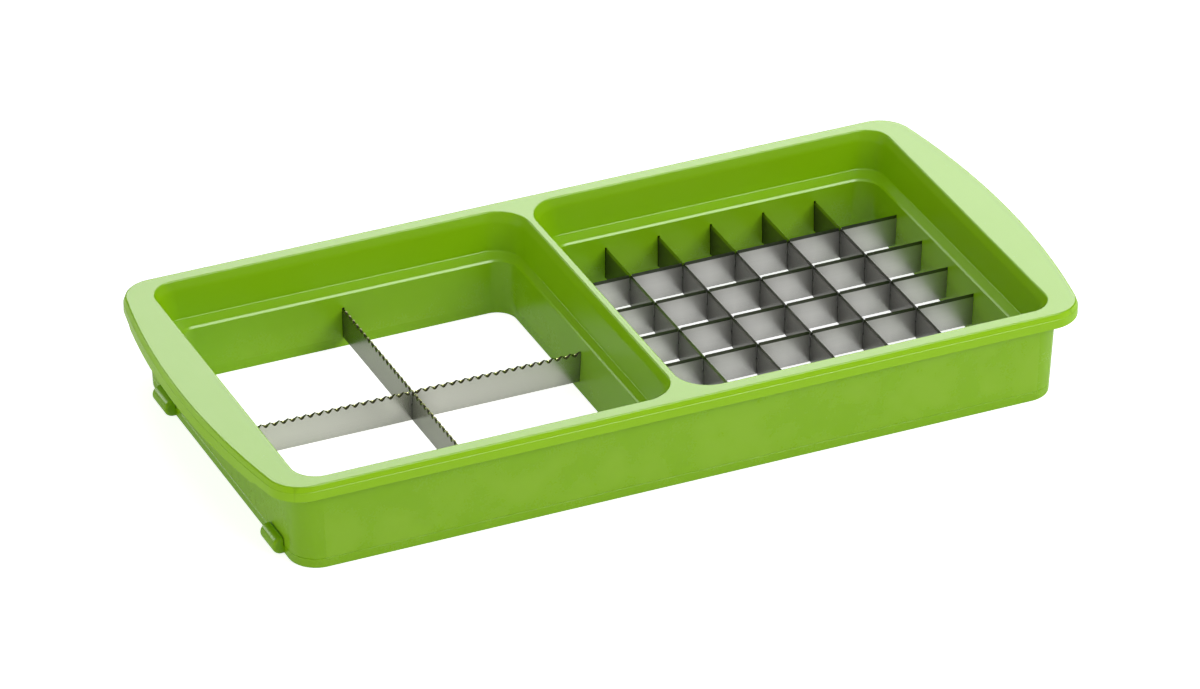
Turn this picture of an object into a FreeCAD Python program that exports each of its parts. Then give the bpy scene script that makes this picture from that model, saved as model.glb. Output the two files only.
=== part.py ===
import FreeCAD, Part
import os
from math import sqrt, pi, sin, cos, asin
from FreeCAD import Vector

# Cutting insert of a hand-press vegetable dicer.
# A moulded frame holds two cutting windows side by side: a serrated
# quartering cross (-X side) and a dicing grid (+X side).
# Origin at the centre of the underside, +X along the length towards the
# dicing grid, +Z up. Blade edges point up. All sizes in millimetres.
# Small bare numbers added to the ends of solids make them overlap or
# cut clean through.

# ---------------------------------------------------------------- sizes
HEIGHT = 31.4              # underside to top of rim
SEAM_Z = 3.3               # joint between upper frame and base frame

# rim flange
FLANGE_HALF_X = 138.2      # at the middle of the bowed ends
FLANGE_HALF_Y = 67.0
BOW_RADIUS = 308.0         # bowed ends
CORNER_RADIUS = 11.5       # tangent to the bowed ends
FLANGE_BOTTOM = 26.5       # underside of the side lip
PLATE_THICK = 2.4          # top plate
LIP_THICK = 1.9            # side lip
RIM_FILLET = 0.7           # top outer edge
TAB_HALF_Y = 49.5          # each end tab, where the lip is deeper
TAB_BOTTOM = 25.8          # underside of the lip along the end tabs
TAB_DEPTH = 10.0           # reach of each tab inwards from the end

# outer skirt
SKIRT_HALF_X = 125.0       # at z = 0
SKIRT_HALF_Y = 62.7        # at z = 0
SKIRT_DRAFT = 0.039        # growth per mm of height
SKIRT_RADIUS = 9.0
SKIRT_THICK = 2.0

# windows: (inner x, outer x, half y, inner corner radius, outer corner radius)
# inner is the side next to the middle of the frame
RIM_WINDOW = (1.16, 123.8, 61.8, 11.0, 8.0)      # at the rim, z = HEIGHT
CREASE_WINDOW = (4.0, 121.1, 58.8, 9.5, 7.5)     # outside of the ledge
EDGE_WINDOW = (6.45, 117.9, 54.4, 7.0, 7.0)      # inner edge of the ledge
FOOT_WINDOW = (7.36, 117.3, 54.0, 6.5, 6.5)      # at the underside, z = 0
CREASE_Z = 19.5
EDGE_Z = 18.2
WELL_WALL = 3.2            # wall that holds the blades
UPPER_WALL = 2.3           # sloping wall above the ledge
WELL_INSET = 0.4           # well walls stay this far inside the skirt face

# stiffening ribs below the end tabs
RIB_THICK = 1.4
RIB_BOTTOM = 17.0
RIB_ROOT_X = SKIRT_HALF_X + 0.6
RIB_Y = (-36.0, -18.0, 0.0, 18.0, 36.0)

# pegs of the base frame and their sockets in the upper frame
PEG_Y = (-40.0, 0.0, 40.0)
PEG_RADIUS = 2.0
PEG_HEIGHT = 9.0
PEG_CHAMFER = 0.5
SOCKET_GAP = 0.1           # clearance around a peg
SOCKET_EXTRA = 0.4         # clearance above a peg
BOSS_RADIUS = 3.6
BOSS_TOP = 20.0

# base frame
BASE_FILLET = 0.5          # bottom outer edge
TONGUE_HEIGHT = 5.0        # upstanding tongue that plugs into the skirt
TONGUE_THICK = 1.4
TONGUE_INSET = SKIRT_THICK + 0.12

# hook lugs at the -X end
LUG_SPANS = ((35.6, 46.9), (-51.0, -40.2))       # (y start, y end)
LUG_NOSE_X = -125.9        # centre of the rounded nose
LUG_NOSE_Z = 3.15
LUG_RADIUS = 2.85
LUG_ROOT_X = -(SKIRT_HALF_X - 3.0)
LUG_BACK_X = -(SKIRT_HALF_X + 0.45)              # stands just clear of the skirt
LUG_BACK_DROP = 0.05       # fall of the top from nose to back
LUG_FILLET = 1.0

# blades
WINDOW_X = 62.3            # blade centre of each window from the middle
PITCH = 18.0               # side of one dice cell
GRID_OFFSETS = [PITCH * k for k in (-2, -1, 0, 1, 2)]
LONG_HALF = 57.35          # half length of blades along X
SHORT_HALF = 56.5          # half length of blades along Y
BLADE_BOTTOM = SEAM_Z
DICE_THICK = 0.6
DICE_TOP = 14.0
BEVEL_HEIGHT = 1.0
EDGE_WIDTH = 0.10          # width left at the cutting edge
END_CORNER = 1.2           # lead-in corner at both ends
SERRATED_THICK = 0.7
SERRATED_TOP = 13.5
TOOTH_PITCH = 2.9
TOOTH_DEPTH = 0.5
TOOTH_MARGIN = 0.8         # least plain length left at each end
VEE_DEPTH = 1.6            # lead-in of the top notch
VEE_HALF = 1.3
SLOT_GAP = 0.10            # clearance each side of and above a blade
SLOT_END = 0.15            # end clearance of a blade in its slot
CROSS_GAP = 0.18           # clearance each side where two blades cross
LAP_Z = 8.6                # height where crossing blades swap over
LAP_GAP = 0.05             # each blade's clearance at that height

TOLERANCE = 1e-6           # for picking edges by height

os.makedirs("parts", exist_ok=True)


# ---------------------------------------------------------------- helpers
def arc(start, middle, end):
    return Part.Arc(start, middle, end).toShape()


def round_rect(x0, x1, y0, y1, radii, z):
    """Rounded rectangle wire, counter-clockwise, with the radii of corners
    (x0, y0), (x1, y0), (x1, y1), (x0, y1)."""
    def at(x, y):
        return Vector(x, y, z)

    r0, r1, r2, r3 = radii
    mid = 1.0 - 1.0 / sqrt(2.0)    # inset of an arc's middle, per unit radius
    m0, m1, m2, m3 = [radius * mid for radius in radii]
    return Part.Wire([
        Part.makeLine(at(x0 + r0, y0), at(x1 - r1, y0)),
        arc(at(x1 - r1, y0), at(x1 - m1, y0 + m1), at(x1, y0 + r1)),
        Part.makeLine(at(x1, y0 + r1), at(x1, y1 - r2)),
        arc(at(x1, y1 - r2), at(x1 - m2, y1 - m2), at(x1 - r2, y1)),
        Part.makeLine(at(x1 - r2, y1), at(x0 + r3, y1)),
        arc(at(x0 + r3, y1), at(x0 + m3, y1 - m3), at(x0, y1 - r3)),
        Part.makeLine(at(x0, y1 - r3), at(x0, y0 + r0)),
        arc(at(x0, y0 + r0), at(x0 + m0, y0 + m0), at(x0 + r0, y0)),
    ])


def loft(lower, upper):
    return Part.makeLoft([lower, upper], True, True)


def box(x0, x1, y0, y1, z0, z1):
    return Part.makeBox(x1 - x0, y1 - y0, z1 - z0, Vector(x0, y0, z0))


def extrude(wire, height):
    return Part.Face(wire).extrude(Vector(0, 0, height))


def prism_y(points, y, width):
    """Prism along +Y from y, on a closed outline of (x, z) points."""
    outline = [Vector(px, y, pz) for px, pz in points + points[:1]]
    return Part.Face(Part.makePolygon(outline)).extrude(Vector(0, width, 0))


def mix(start, end, part):
    return tuple(a + (b - a) * part for a, b in zip(start, end))


def export(shape, name):
    shape.exportStep("parts/%s.step" % name)


# ---------------------------------------------------------------- outlines
def skirt_wire(z, inset):
    growth = SKIRT_DRAFT * z - inset
    half_x = SKIRT_HALF_X + growth
    half_y = SKIRT_HALF_Y + growth
    return round_rect(-half_x, half_x, -half_y, half_y, (SKIRT_RADIUS - inset,) * 4, z)


def skirt_solid(z0, z1, inset=0.0):
    return loft(skirt_wire(z0, inset), skirt_wire(z1, inset))


def flange_wire(inset, z):
    """Flange outline with straight sides, bowed ends and tangent corners,
    moved inwards by inset."""
    def at(x, y):
        return Vector(x, y, z)

    end_x = FLANGE_HALF_X - inset
    side_y = FLANGE_HALF_Y - inset
    corner = CORNER_RADIUS - inset
    bow = BOW_RADIUS - inset
    bow_x = FLANGE_HALF_X - BOW_RADIUS           # centre of the +X bow
    reach = BOW_RADIUS - CORNER_RADIUS           # bow centre to corner centre
    corner_y = FLANGE_HALF_Y - CORNER_RADIUS
    corner_x = bow_x + sqrt(reach * reach - corner_y * corner_y)
    angle = asin(corner_y / reach)               # direction of the tangent point
    tan_x = bow_x + bow * cos(angle)
    tan_y = bow * sin(angle)
    mid_angle = (angle + pi / 2) / 2             # middle of the corner arc
    mid_x = corner_x + corner * cos(mid_angle)
    mid_y = corner_y + corner * sin(mid_angle)
    return Part.Wire([
        Part.makeLine(at(-corner_x, -side_y), at(corner_x, -side_y)),
        arc(at(corner_x, -side_y), at(mid_x, -mid_y), at(tan_x, -tan_y)),
        arc(at(tan_x, -tan_y), at(end_x, 0), at(tan_x, tan_y)),
        arc(at(tan_x, tan_y), at(mid_x, mid_y), at(corner_x, side_y)),
        Part.makeLine(at(corner_x, side_y), at(-corner_x, side_y)),
        arc(at(-corner_x, side_y), at(-mid_x, mid_y), at(-tan_x, tan_y)),
        arc(at(-tan_x, tan_y), at(-end_x, 0), at(-tan_x, -tan_y)),
        arc(at(-tan_x, -tan_y), at(-mid_x, -mid_y), at(-corner_x, -side_y)),
    ])


def window_wire(side, window, z, grow=0.0):
    """Outline of one window. side = -1 quartering, +1 dicing."""
    inner, outer, half_y, inner_r, outer_r = [size + grow for size in window]
    inner -= 2 * grow                            # the inner side moves towards x = 0
    if side > 0:
        radii = (inner_r, outer_r, outer_r, inner_r)
        return round_rect(inner, outer, -half_y, half_y, radii, z)
    radii = (outer_r, inner_r, inner_r, outer_r)
    return round_rect(-outer, -inner, -half_y, half_y, radii, z)


def lower_outline(z):
    """Window sizes at height z below the ledge."""
    return mix(FOOT_WINDOW, EDGE_WINDOW, z / EDGE_Z)


# ---------------------------------------------------------------- window cutters
def upper_window(side):
    """Open space of one window, from the ledge to above the rim."""
    slope = loft(window_wire(side, CREASE_WINDOW, CREASE_Z),
                 window_wire(side, RIM_WINDOW, HEIGHT))
    # straight above the rim, so that the two windows stay apart
    lid = extrude(window_wire(side, RIM_WINDOW, HEIGHT), 1.0)
    ledge = loft(window_wire(side, EDGE_WINDOW, EDGE_Z),
                 window_wire(side, CREASE_WINDOW, CREASE_Z))
    return slope.fuse([lid, ledge])


def lower_window(side, z0, z1):
    return loft(window_wire(side, lower_outline(z0), z0),
                window_wire(side, lower_outline(z1), z1))


# ---------------------------------------------------------------- upper frame
def make_flange():
    """Top plate with its lip, hollow below outside the skirt."""
    flange = extrude(flange_wire(0.0, FLANGE_BOTTOM), HEIGHT - FLANGE_BOTTOM)
    top_edges = [edge for edge in flange.Edges
                 if all(abs(v.Z - HEIGHT) < TOLERANCE for v in edge.Vertexes)
                 and abs(edge.BoundBox.ZMin - HEIGHT) < TOLERANCE]
    flange = flange.makeFillet(RIM_FILLET, top_edges)

    # deeper lip below the two end tabs
    tab = extrude(flange_wire(0.0, TAB_BOTTOM), FLANGE_BOTTOM - TAB_BOTTOM + 0.5)
    near = FLANGE_HALF_X - TAB_DEPTH
    far = FLANGE_HALF_X + 2
    tab = tab.common(Part.makeCompound([
        box(x0, x1, -TAB_HALF_Y, TAB_HALF_Y, TAB_BOTTOM - 1, FLANGE_BOTTOM + 1)
        for x0, x1 in ((near, far), (-far, -near))]))
    flange = flange.fuse(tab)

    pocket = extrude(flange_wire(LIP_THICK, TAB_BOTTOM - 1.0),
                     HEIGHT - PLATE_THICK - TAB_BOTTOM + 1.0)
    return flange.cut(pocket.cut(skirt_solid(SEAM_Z, HEIGHT - 0.5)))


def make_skirt():
    core = skirt_solid(SEAM_Z, HEIGHT - PLATE_THICK, SKIRT_THICK)
    return skirt_solid(SEAM_Z, HEIGHT - 1.0).cut(core)


def make_wells():
    """Solid bodies around both windows, before the windows are cut."""
    # (lower outline, its z, upper outline, its z, wall)
    stages = (
        (lower_outline(SEAM_Z), SEAM_Z, EDGE_WINDOW, EDGE_Z, WELL_WALL),
        (EDGE_WINDOW, EDGE_Z, CREASE_WINDOW, CREASE_Z, None),
        (CREASE_WINDOW, CREASE_Z, RIM_WINDOW, HEIGHT - 0.2, UPPER_WALL),
    )
    limit = skirt_solid(SEAM_Z, HEIGHT - 0.2, WELL_INSET)
    wells = []
    for side in (-1, 1):
        for lower, z0, upper, z1, wall in stages:
            # the middle stage goes from the lower wall to the upper one
            well = loft(window_wire(side, lower, z0, wall or WELL_WALL),
                        window_wire(side, upper, z1, wall or UPPER_WALL))
            wells.append(well.common(limit))
    return wells


def make_rib(side, y):
    """Rib between the skirt and the lip of one end tab."""
    bow = sqrt((BOW_RADIUS - LIP_THICK) ** 2 - y * y)
    root = side * RIB_ROOT_X
    tip = side * (FLANGE_HALF_X - BOW_RADIUS + bow + 0.5)
    outline = [(root, RIB_BOTTOM), (root, HEIGHT - 1.0),
               (tip, HEIGHT - 1.0), (tip, TAB_BOTTOM + 1.0)]
    return prism_y(outline, y - RIB_THICK / 2, RIB_THICK)


def blade_slot(x, y, half_x, half_y, top):
    """Slot open at the seam and closed above the blade."""
    return box(x - half_x, x + half_x, y - half_y, y + half_y,
               SEAM_Z - 0.5, top + SLOT_GAP)


def make_slots():
    long_half = LONG_HALF + SLOT_END
    short_half = SHORT_HALF + SLOT_END
    dice_half = DICE_THICK / 2 + SLOT_GAP
    serrated_half = SERRATED_THICK / 2 + SLOT_GAP
    slots = []
    for offset in GRID_OFFSETS:
        slots.append(blade_slot(WINDOW_X, offset, long_half, dice_half, DICE_TOP))
        slots.append(blade_slot(WINDOW_X + offset, 0, dice_half, short_half, DICE_TOP))
    slots.append(blade_slot(-WINDOW_X, 0, long_half, serrated_half, SERRATED_TOP))
    slots.append(blade_slot(-WINDOW_X, 0, serrated_half, short_half, SERRATED_TOP))
    return slots


def make_upper_frame():
    frame = make_flange().fuse([make_skirt()] + make_wells())
    # bosses in the hollow of the divider
    for y in PEG_Y:
        boss = Part.makeCylinder(BOSS_RADIUS, BOSS_TOP - SEAM_Z, Vector(0, y, SEAM_Z))
        frame = frame.fuse(boss)
    for side in (-1, 1):
        for y in RIB_Y:
            frame = frame.fuse(make_rib(side, y))

    for side in (-1, 1):
        frame = frame.cut(upper_window(side))
        frame = frame.cut(lower_window(side, SEAM_Z - 0.5, EDGE_Z))
    for y in PEG_Y:
        socket = Part.makeCylinder(PEG_RADIUS + SOCKET_GAP, PEG_HEIGHT + SOCKET_EXTRA,
                                   Vector(0, y, SEAM_Z))
        frame = frame.cut(socket)
    return frame.cut(make_slots()).removeSplitter()


# ---------------------------------------------------------------- base frame
def make_tongue():
    top = SEAM_Z + TONGUE_HEIGHT
    tongue = skirt_solid(SEAM_Z - 0.5, top, TONGUE_INSET)
    tongue = tongue.cut(skirt_solid(SEAM_Z - 0.6, top + 0.1, TONGUE_INSET + TONGUE_THICK))
    return tongue.common(box(-140, 140, -70, 70, SEAM_Z - 0.4, top))


def make_peg(y):
    peg = Part.makeCylinder(PEG_RADIUS, PEG_HEIGHT + 0.5, Vector(0, y, SEAM_Z - 0.5))
    tip = [edge for edge in peg.Edges
           if abs(edge.BoundBox.ZMin - (SEAM_Z + PEG_HEIGHT)) < TOLERANCE
           and edge.BoundBox.ZLength < TOLERANCE]
    return peg.makeChamfer(PEG_CHAMFER, tip)


def make_lug(y0, y1):
    """Bar along Y with a rounded nose, carried by the base plate."""
    def at(x, z):
        return Vector(x, y0, z)

    root_bottom = at(LUG_ROOT_X, LUG_NOSE_Z - LUG_RADIUS)
    nose_bottom = at(LUG_NOSE_X, LUG_NOSE_Z - LUG_RADIUS)
    nose_tip = at(LUG_NOSE_X - LUG_RADIUS, LUG_NOSE_Z)
    nose_top = at(LUG_NOSE_X, LUG_NOSE_Z + LUG_RADIUS)
    back_top = at(LUG_BACK_X, LUG_NOSE_Z + LUG_RADIUS - LUG_BACK_DROP)
    back_foot = at(LUG_BACK_X, SEAM_Z - 0.2)
    root_top = at(LUG_ROOT_X, SEAM_Z - 0.2)
    profile = Part.Wire([
        Part.makeLine(root_bottom, nose_bottom),
        arc(nose_bottom, nose_tip, nose_top),
        Part.makeLine(nose_top, back_top),
        Part.makeLine(back_top, back_foot),
        Part.makeLine(back_foot, root_top),
        Part.makeLine(root_top, root_bottom),
    ])
    lug = Part.Face(profile).extrude(Vector(0, y1 - y0, 0))
    nose_arcs = [edge for edge in lug.Edges if edge.Curve.TypeId == 'Part::GeomCircle']
    return lug.makeFillet(LUG_FILLET, nose_arcs)


def make_base_frame():
    base = skirt_solid(0.0, SEAM_Z)
    bottom_edges = [edge for edge in base.Edges if abs(edge.BoundBox.ZMax) < TOLERANCE]
    base = base.makeFillet(BASE_FILLET, bottom_edges)
    for side in (-1, 1):
        base = base.cut(lower_window(side, -0.5, SEAM_Z + 0.5))
    base = base.fuse(make_tongue())
    for y in PEG_Y:
        base = base.fuse(make_peg(y))
    for y0, y1 in LUG_SPANS:
        base = base.fuse(make_lug(y0, y1))
    return base.removeSplitter()


# ---------------------------------------------------------------- blades
# Blades are built along X about x = 0, y = 0, then placed.
def lap_notch(x, thick, top, notch_top):
    """Half-lap notch at a crossing, open at the top or at the bottom."""
    half = thick / 2 + CROSS_GAP
    if notch_top:
        return box(x - half, x + half, -2, 2, LAP_Z - LAP_GAP, top + 1)
    return box(x - half, x + half, -2, 2, BLADE_BOTTOM - 1, LAP_Z + LAP_GAP)


def dice_blade(half, notch_top):
    """Flat blade with a double bevel along the top edge."""
    side = DICE_THICK / 2
    edge = EDGE_WIDTH / 2
    bevel_z = DICE_TOP - BEVEL_HEIGHT
    # (y, z) section
    section = ((-side, BLADE_BOTTOM), (side, BLADE_BOTTOM), (side, bevel_z),
               (edge, DICE_TOP), (-edge, DICE_TOP), (-side, bevel_z),
               (-side, BLADE_BOTTOM))
    outline = Part.makePolygon([Vector(-half, y, z) for y, z in section])
    blade = Part.Face(outline).extrude(Vector(2 * half, 0, 0))
    cuts = [lap_notch(x, DICE_THICK, DICE_TOP, notch_top) for x in GRID_OFFSETS]
    for end in (-1, 1):
        outer = end * half
        inner = end * (half - END_CORNER)
        cuts.append(prism_y([(outer, DICE_TOP - END_CORNER), (outer, DICE_TOP + 1),
                             (inner, DICE_TOP + 1), (inner, DICE_TOP)], -2, 4))
    return blade.cut(cuts)


def serrated_blade(half, notch_top):
    """Blade with shallow round gullets along the top edge and one crossing
    at its middle. A notch open at the top has a V lead-in."""
    side = SERRATED_THICK / 2
    blade = box(-half, half, -side, side, BLADE_BOTTOM, SERRATED_TOP)
    radius = ((TOOTH_PITCH / 2) ** 2 + TOOTH_DEPTH ** 2) / (2 * TOOTH_DEPTH)
    teeth = int((half - TOOTH_MARGIN) / TOOTH_PITCH)     # each side of the middle
    cuts = []
    for i in range(-teeth, teeth):
        centre = Vector((i + 0.5) * TOOTH_PITCH, -side - 1,
                        SERRATED_TOP - TOOTH_DEPTH + radius)
        cuts.append(Part.makeCylinder(radius, SERRATED_THICK + 2, centre, Vector(0, 1, 0)))
    cuts.append(lap_notch(0.0, SERRATED_THICK, SERRATED_TOP, notch_top))
    if notch_top:
        notch_half = side + CROSS_GAP
        vee_z = SERRATED_TOP - VEE_DEPTH
        cuts.append(prism_y([(-notch_half, vee_z), (notch_half, vee_z),
                             (VEE_HALF, SERRATED_TOP), (VEE_HALF, SERRATED_TOP + 1),
                             (-VEE_HALF, SERRATED_TOP + 1), (-VEE_HALF, SERRATED_TOP)],
                            -2, 4))
    return blade.cut(cuts)


def place_along_x(blade, x, y):
    blade.translate(Vector(x, y, 0))
    return blade


def place_along_y(blade, x):
    blade.rotate(Vector(0, 0, 0), Vector(0, 0, 1), 90)
    blade.translate(Vector(x, 0, 0))
    return blade


# ---------------------------------------------------------------- pieces
export(make_upper_frame(), "upper_frame")
export(make_base_frame(), "base_frame")
for number, offset in enumerate(GRID_OFFSETS, 1):
    export(place_along_x(dice_blade(LONG_HALF, True), WINDOW_X, offset),
           "dice_blade_long_%d" % number)
    export(place_along_y(dice_blade(SHORT_HALF, False), WINDOW_X + offset),
           "dice_blade_short_%d" % number)
export(place_along_x(serrated_blade(LONG_HALF, True), -WINDOW_X, 0),
       "quarter_blade_lengthwise")
export(place_along_y(serrated_blade(SHORT_HALF, False), -WINDOW_X),
       "quarter_blade_crosswise")
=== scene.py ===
"""Blade frame: a green plastic frame with two windows side by side along X, filled with
crossed steel blades. Z is up, the underside lies at z = 0, and the frame is centred on
X = Y = 0. Hook lugs stand out on the -X side of the base.
"""
import math

import bmesh
import bpy
from mathutils import Matrix, Vector
from mathutils.geometry import tessellate_polygon


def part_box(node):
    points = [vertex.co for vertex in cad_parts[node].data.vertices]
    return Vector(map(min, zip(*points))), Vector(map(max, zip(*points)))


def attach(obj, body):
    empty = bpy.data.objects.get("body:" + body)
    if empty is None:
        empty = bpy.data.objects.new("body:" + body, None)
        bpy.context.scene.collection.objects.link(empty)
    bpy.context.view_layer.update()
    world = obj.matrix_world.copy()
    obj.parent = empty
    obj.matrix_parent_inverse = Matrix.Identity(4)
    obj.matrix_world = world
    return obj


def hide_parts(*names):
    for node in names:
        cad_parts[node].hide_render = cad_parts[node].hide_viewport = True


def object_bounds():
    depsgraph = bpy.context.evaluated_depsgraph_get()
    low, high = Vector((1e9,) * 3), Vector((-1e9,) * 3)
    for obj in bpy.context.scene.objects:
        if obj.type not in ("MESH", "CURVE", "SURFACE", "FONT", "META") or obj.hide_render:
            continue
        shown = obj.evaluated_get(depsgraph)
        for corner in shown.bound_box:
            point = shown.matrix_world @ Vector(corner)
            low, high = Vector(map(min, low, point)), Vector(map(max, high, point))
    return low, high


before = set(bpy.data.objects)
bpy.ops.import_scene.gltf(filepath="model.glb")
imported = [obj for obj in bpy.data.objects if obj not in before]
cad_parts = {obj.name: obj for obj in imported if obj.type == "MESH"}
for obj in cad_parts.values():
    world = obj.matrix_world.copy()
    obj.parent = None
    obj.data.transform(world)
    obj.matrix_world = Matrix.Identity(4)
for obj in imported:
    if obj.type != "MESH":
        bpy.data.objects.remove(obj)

CAD_BOX = [list(corner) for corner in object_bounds()]


def mm_box(node):
    low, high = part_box(node)
    return [v * 1000.0 for v in low], [v * 1000.0 for v in high]


# ------------------------------------------------------------------ sizes, mm
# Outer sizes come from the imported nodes. Meshes are built in mm and scaled at the end.
UPPER_LOW, UPPER_HIGH = mm_box("upper_frame")
BASE_HIGH = mm_box("base_frame")[1]
RIM_Z = UPPER_HIGH[2] - 0.0005
SEAM_Z = UPPER_LOW[2]            # joint between the two mouldings

# Flange: straight along X, bowed at the two X ends, where its edge hangs lower as a tab
TAB_X = UPPER_HIGH[0]
FLANGE_Y = UPPER_HIGH[1]
BOW_R = 308.0
FLANGE_R = 11.5
FLANGE_Z = RIM_Z - 4.9           # lower edge of the lip
TAB_Z = RIM_Z - 5.6              # lower edge of the lip along the tabs
TAB_Y = 49.5                     # half width of a tab
TAB_BLEND = 1.2                  # length over which the edge steps down to the tab
TAB_DEPTH_X = 12                 # only points this near the X end belong to a tab
PLATE_T = 2.4
LIP_T = 1.9

# Skirt: the outer wall below the flange, shared by both mouldings
DRAFT = 0.039                    # outward slope per mm of height
SKIRT_X = BASE_HIGH[0] - DRAFT * 3.3 if BASE_HIGH[0] < 126.0 else 125.0
SKIRT_Y = FLANGE_Y - 4.3
SKIRT_R = 9.0
SKIRT_T = 2.0
SEAM_CHAMFER = 0.16

# Window stations: inner x, outer x, half y, inner radius, outer radius, z
RIM = (1.16, 123.8, 61.8, 11.0, 8.0, RIM_Z)
CREASE = (4.0, 121.1, 58.8, 9.5, 7.5, 19.5)
EDGE = (6.45, 117.9, 54.4, 7.0, 7.0, 18.2)
FOOT = (7.36, 117.3, 54.0, 6.5, 6.5, 0.0)
WELL_T = 3.2                     # wall round a window, up to EDGE
WELL_UPPER_T = 2.3               # the same wall from CREASE up
FOOT_ROUND = 0.3

RIB_T = 1.4
RIB_Y = (-36.0, -18.0, 0.0, 18.0, 36.0)
RIB_ROOT_Z = 17.0                # underside of a rib at the skirt
PEG_Y = (-40.0, 0.0, 40.0)
PEG_R, SOCKET_R, BOSS_R = 2.0, 2.1, 3.6
PEG_H, SOCKET_H = 9.0, 9.4       # above the seam
BOSS_TOP_Z = 20.0
SLOT_GAP = 0.10
SLOT_END_GAP = 0.15
SLOT_L = 8

TONGUE_GAP = 0.12
TONGUE_T = 1.4
TONGUE_H = 5.0
TONGUE_ROOT = 0.4                # overlap into the base below the seam
TONGUE_CHAMFER = (0.3, 0.4)      # inwards, down

LUG_Y = ((35.6, 46.9), (-51.0, -40.2))
LUG_NOSE_X, LUG_NOSE_Z, LUG_NOSE_R = -125.9, 3.15, 2.85
LUG_ROOT_X = -(SKIRT_X - 3.0)
LUG_GAP_X = -(SKIRT_X + 0.45)
LUG_SIDE_R = 1.0
LUG_CORNER = 0.3

LAP_Z = 8.6                      # height at which crossing blades meet
LAP_GAP = 0.05
CROSS_GAP = 0.18
CUT_HALF = 2                     # half thickness of the cutters for blades
BEVEL_H = 1.0
BEVEL_TIP = 0.003                # half width left at the cutting edge
BLADE_CHAMFER = 0.05
END_LEAD = 1.2

TOOTH_PITCH = 2.9
TOOTH_STEPS = 16                 # stations per tooth
TOOTH_MARGIN = 0.8               # plain length kept at each end, at least
GULLET_D = 0.5                   # depth of the gullets in the edge
GULLET_SPAN = 0.97               # share of the pitch that a gullet takes
GRIND_H = 0.85                   # how far the ground hollow runs down the face
GRIND_MIN = 0.02
GRIND_SPAN = 0.86                # share of the pitch that the hollow takes
GRIND_FADE = 0.16
GRIND_STEPS = 5
CROSS_FLARE_HALF, CROSS_FLARE_H = 1.3, 1.6

CORNER_STEPS = 20
BOW_STEPS = 96
TUBE_STEPS = 40


# ------------------------------------------------------------------ outlines
def mix(start, end, share):
    return tuple(p + (q - p) * share for p, q in zip(start, end))


def foot_at(z):
    """Window station at height z between the foot and the edge."""
    return mix(FOOT, EDGE, z / EDGE[5])


def arc(x, y, radius, start, end, steps=CORNER_STEPS):
    angles = [math.radians(start + (end - start) * i / steps) for i in range(steps + 1)]
    return [(x + radius * math.cos(a), y + radius * math.sin(a)) for a in angles]


def round_rect(x0, x1, half_y, r_left, r_right, z):
    """Rectangle with one corner radius at -X and one at +X, counter-clockwise."""
    outline = arc(x0 + r_left, -half_y + r_left, r_left, 180, 270)
    outline += arc(x1 - r_right, -half_y + r_right, r_right, 270, 360)
    outline += arc(x1 - r_right, half_y - r_right, r_right, 0, 90)
    outline += arc(x0 + r_left, half_y - r_left, r_left, 90, 180)
    return [(x, y, z) for x, y in outline]


def window(side, station, grow=0.0):
    x_in, x_out, half_y, r_in, r_out, z = station
    x_in, x_out, half_y = x_in - grow, x_out + grow, half_y + grow
    r_in, r_out = r_in + grow, r_out + grow
    if side > 0:
        return round_rect(x_in, x_out, half_y, r_in, r_out, z)
    return round_rect(-x_out, -x_in, half_y, r_out, r_in, z)


def skirt(inset, z):
    spread = DRAFT * z
    x, y, radius = SKIRT_X + spread - inset, SKIRT_Y + spread - inset, SKIRT_R - inset
    return round_rect(-x, x, y, radius, radius, z)


def smooth(share):
    share = max(0.0, min(1.0, share))
    return share * share * (3 - 2 * share)


BOW_X = TAB_X - BOW_R                                    # centre of the +X bow
CORNER_Y = FLANGE_Y - FLANGE_R
CORNER_X = BOW_X + math.sqrt((BOW_R - FLANGE_R) ** 2 - CORNER_Y ** 2)
TANGENT = math.degrees(math.asin(CORNER_Y / (BOW_R - FLANGE_R)))  # where bow meets corner


def flange(inset, z, drop=0.0):
    """Flange outline, counter-clockwise. drop lowers the ring along the tabs."""
    radius = FLANGE_R - inset
    bow = arc(BOW_X, 0.0, BOW_R - inset, -TANGENT, TANGENT, BOW_STEPS)[1:-1]
    outline = arc(CORNER_X, -CORNER_Y, radius, -90, -TANGENT)
    outline += bow
    outline += arc(CORNER_X, CORNER_Y, radius, TANGENT, 90)
    outline += arc(-CORNER_X, CORNER_Y, radius, 90, 180 - TANGENT)
    outline += [(-x, -y) for x, y in bow]
    outline += arc(-CORNER_X, -CORNER_Y, radius, 180 + TANGENT, 270)
    ring = []
    for x, y in outline:
        share = 0.0
        if abs(x) > TAB_X - TAB_DEPTH_X:
            share = smooth((TAB_Y + TAB_BLEND / 2 - abs(y)) / TAB_BLEND)
        ring.append((x, y, z - drop * share))
    return ring


def rounded(stations, axes=(0, 1), steps=8):
    """Rounds the corners of a path with true arcs. The last entry of a station is its
    corner radius; axes are the two entries that make up the section plane."""
    path = [row[:-1] for row in stations]
    result = []
    for i, (point, row) in enumerate(zip(path, stations)):
        radius = row[-1]
        if radius <= 0 or i in (0, len(path) - 1):
            result.append(point)
            continue
        before, after = path[i - 1], path[i + 1]
        to_before = Vector([before[k] - point[k] for k in axes])
        to_after = Vector([after[k] - point[k] for k in axes])
        turn = math.pi - to_before.angle(to_after)
        trim = radius * math.tan(turn / 2)
        start = mix(point, before, trim / to_before.length)
        end = mix(point, after, trim / to_after.length)
        weight = math.cos(turn / 2)
        for k in range(steps + 1):
            t = k / steps
            c0, c1, c2 = (1 - t) ** 2, 2 * t * (1 - t) * weight, t * t
            total = c0 + c1 + c2
            result.append(tuple((c0 * u + c1 * v + c2 * w) / total
                                for u, v, w in zip(start, point, end)))
    return result


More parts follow.
